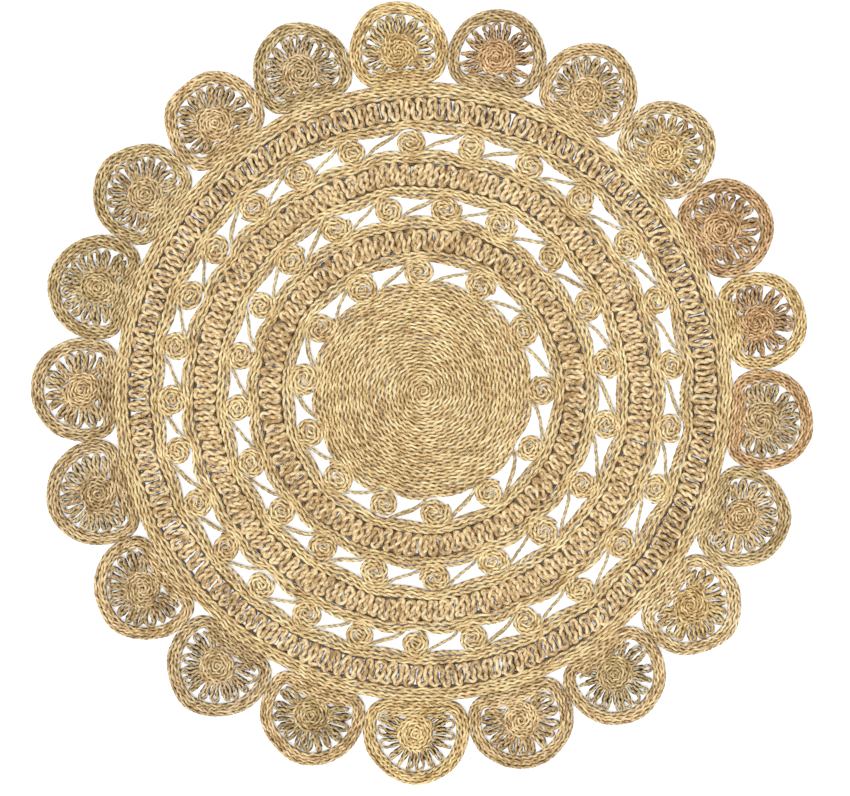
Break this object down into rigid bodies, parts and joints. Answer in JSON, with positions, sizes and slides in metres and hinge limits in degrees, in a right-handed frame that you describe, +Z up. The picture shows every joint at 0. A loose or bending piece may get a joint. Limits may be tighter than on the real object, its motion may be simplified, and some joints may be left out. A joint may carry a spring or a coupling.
{
  "type": "area rug",
  "caption": "Round flat area rug of coiled and looped plaited cord, with openwork rounds, zigzag rounds and a scalloped border.",
  "frame": {"origin": "middle of the centre coil, on the underside that lies on the floor", "axes": "+Z up, out of the face that is walked on; +X and +Y in the plane of the rug"},
  "size_m": [1.4979, 1.4982, 0.009],
  "materials": {
    "jute": "plaited natural jute fibre, matt",
    "jute_grey": "plaited natural jute fibre, matt",
    "jute_gold": "plaited natural jute fibre, matt",
    "jute_brown": "plaited natural jute fibre, matt",
    "jute_olive": "plaited natural jute fibre, matt"
  },
  "bodies": {
    "root": {"centre_coil": "jute", "small_coils_1": "jute", "link_cords_1": "jute_grey", "inner_edge_1": "jute", "zigzag_1": "jute_grey", "outer_edge_1": "jute", "small_coils_2": "jute", "link_cords_2": "jute_grey", "inner_edge_2": "jute", "zigzag_2": "jute_grey", "outer_edge_2": "jute", "small_coils_3": "jute", "link_cords_3": "jute_grey", "inner_edge_3": "jute", "zigzag_3": "jute_grey", "outer_edge_3": "jute", "scallop_rim_01": "jute_grey", "scallop_rim_02": "jute_brown", "scallop_rim_03": "jute", "scallop_rim_04": "jute_gold", "scallop_rim_05": "jute_olive", "scallop_rim_06": "jute", "scallop_rim_07": "jute", "scallop_rim_08": "jute_grey", "scallop_rim_09": "jute_brown", "scallop_rim_10": "jute", "scallop_rim_11": "jute_gold", "scallop_rim_12": "jute_olive", "scallop_rim_13": "jute", "scallop_rim_14": "jute", "scallop_rim_15": "jute_grey", "scallop_rim_16": "jute_brown", "scallop_rim_17": "jute", "scallop_rim_18": "jute_gold", "scallop_rim_19": "jute_olive", "scallop_rim_20": "jute", "scallop_rim_21": "jute", "scallop_fan_01": "jute", "scallop_fan_02": "jute_gold", "scallop_fan_03": "jute_olive", "scallop_fan_04": "jute", "scallop_fan_05": "jute", "scallop_fan_06": "jute_grey", "scallop_fan_07": "jute_brown", "scallop_fan_08": "jute", "scallop_fan_09": "jute_gold", "scallop_fan_10": "jute_olive", "scallop_fan_11": "jute", "scallop_fan_12": "jute", "scallop_fan_13": "jute_grey", "scallop_fan_14": "jute_brown", "scallop_fan_15": "jute", "scallop_fan_16": "jute_gold", "scallop_fan_17": "jute_olive", "scallop_fan_18": "jute", "scallop_fan_19": "jute", "scallop_fan_20": "jute_grey", "scallop_fan_21": "jute_brown"}
  },
  "joints": []
}
